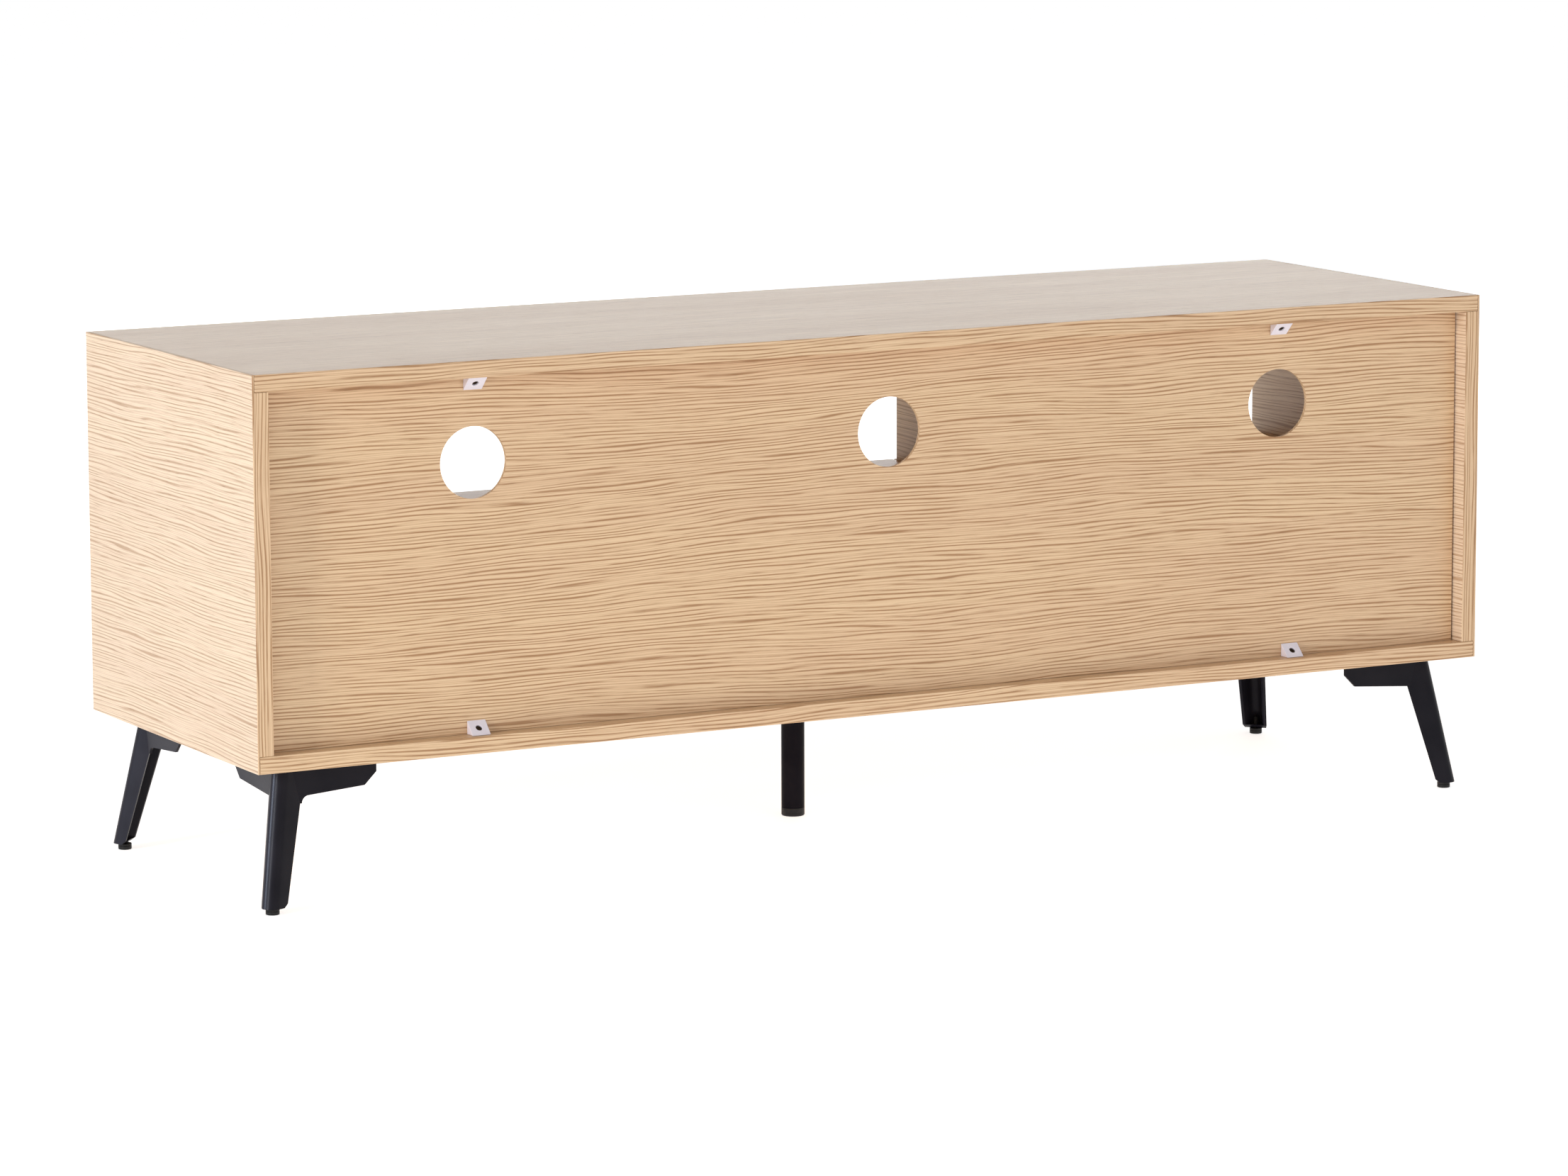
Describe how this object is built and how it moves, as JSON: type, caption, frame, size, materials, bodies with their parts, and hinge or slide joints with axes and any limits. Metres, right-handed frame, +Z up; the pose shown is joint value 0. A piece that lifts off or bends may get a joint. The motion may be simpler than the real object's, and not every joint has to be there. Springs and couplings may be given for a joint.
{
  "type": "media cabinet",
  "caption": "Low oak-faced media cabinet with open niches above sliding drawers, a back panel with round cable holes, and splayed black steel legs.",
  "frame": {"origin": "on the floor, under the middle of the whole object's box, handles included", "axes": "+X to the right as seen from the front, +Y towards the back panel, +Z up; the drawers open towards -Y"},
  "size_m": [1.5, 0.473, 0.564],
  "materials": {
    "oak_laminate": "matt oak-print foil on particle board, fine lengthwise grain",
    "oak_front": "matt oak-print foil on board, grain along the drawer",
    "oak_back": "oak-print hardboard, matt",
    "drawer_board": "pale foil-wrapped board, smooth matt",
    "white_plastic": "moulded, slightly translucent white",
    "black_plastic": "moulded, fine matt texture",
    "black_steel": "satin black powder coat",
    "zinc_steel": "bright zinc plate"
  },
  "bodies": {
    "cabinet": {"back_clip_lower_left": "white_plastic", "back_clip_lower_right": "white_plastic", "back_clip_upper_left": "white_plastic", "back_clip_upper_right": "white_plastic", "back_panel": "oak_back", "bottom_panel": "oak_laminate", "centre_leg_plate": "black_steel", "centre_leg_tube": "black_steel", "clip_screw_lower_left": "zinc_steel", "clip_screw_lower_right": "zinc_steel", "clip_screw_upper_left": "zinc_steel", "clip_screw_upper_right": "zinc_steel", "divider_left": "oak_laminate", "divider_right": "oak_laminate", "leg_back_left": "black_steel", "leg_back_right": "black_steel", "leg_front_left": "black_steel", "leg_front_right": "black_steel", "runner_cabinet_centre_left": "zinc_steel", "runner_cabinet_centre_right": "zinc_steel", "runner_cabinet_left_left": "zinc_steel", "runner_cabinet_left_right": "zinc_steel", "runner_cabinet_right_left": "zinc_steel", "runner_cabinet_right_right": "zinc_steel", "shelf_centre": "oak_laminate", "shelf_left": "oak_laminate", "shelf_right": "oak_laminate", "side_panel_left": "oak_laminate", "side_panel_right": "oak_laminate", "top_panel": "oak_laminate"},
    "drawer_left": {"drawer_front_left": "oak_front", "drawer_side_left_left": "drawer_board", "drawer_side_left_right": "drawer_board", "drawer_back_left": "drawer_board", "drawer_bottom_left": "drawer_board", "handle_left": "black_steel", "runner_drawer_left_left": "zinc_steel", "runner_drawer_left_right": "zinc_steel"},
    "drawer_centre": {"drawer_front_centre": "oak_front", "drawer_side_centre_left": "drawer_board", "drawer_side_centre_right": "drawer_board", "drawer_back_centre": "drawer_board", "drawer_bottom_centre": "drawer_board", "handle_centre": "black_steel", "runner_drawer_centre_left": "zinc_steel", "runner_drawer_centre_right": "zinc_steel"},
    "drawer_right": {"drawer_front_right": "oak_front", "drawer_side_right_left": "drawer_board", "drawer_side_right_right": "drawer_board", "drawer_back_right": "drawer_board", "drawer_bottom_right": "drawer_board", "handle_right": "black_steel", "runner_drawer_right_left": "zinc_steel", "runner_drawer_right_right": "zinc_steel"},
    "levelling_foot_back_right": {"foot_back_right": "black_plastic"},
    "levelling_foot_back_left": {"foot_back_left": "black_plastic"},
    "levelling_foot_front_left": {"foot_front_left": "black_plastic"},
    "levelling_foot_front_right": {"foot_front_right": "black_plastic"},
    "levelling_foot_middle": {"centre_leg_foot": "black_plastic"}
  },
  "joints": [
    {"name": "drawer_left_slide", "type": "slide", "parent": "cabinet", "child": "drawer_left", "axis": [0, -1, 0], "range_m": [0, 0.26]},
    {"name": "drawer_centre_slide", "type": "slide", "parent": "cabinet", "child": "drawer_centre", "axis": [0, -1, 0], "range_m": [0, 0.26]},
    {"name": "drawer_right_slide", "type": "slide", "parent": "cabinet", "child": "drawer_right", "axis": [0, -1, 0], "range_m": [0, 0.26]},
    {"name": "foot_back_right_turn", "type": "hinge", "parent": "cabinet", "child": "levelling_foot_back_right", "pos_m": [0.726, 0.2125, 0], "axis": [0, 0, 1], "continuous": true},
    {"name": "foot_back_left_turn", "type": "hinge", "parent": "cabinet", "child": "levelling_foot_back_left", "pos_m": [-0.726, 0.2125, 0], "axis": [0, 0, 1], "continuous": true},
    {"name": "foot_front_left_turn", "type": "hinge", "parent": "cabinet", "child": "levelling_foot_front_left", "pos_m": [-0.726, -0.1845, 0], "axis": [0, 0, 1], "continuous": true},
    {"name": "foot_front_right_turn", "type": "hinge", "parent": "cabinet", "child": "levelling_foot_front_right", "pos_m": [0.726, -0.1845, 0], "axis": [0, 0, 1], "continuous": true},
    {"name": "foot_middle_turn", "type": "hinge", "parent": "cabinet", "child": "levelling_foot_middle", "pos_m": [0, -0.002, 0], "axis": [0, 0, 1], "continuous": true}
  ]
}
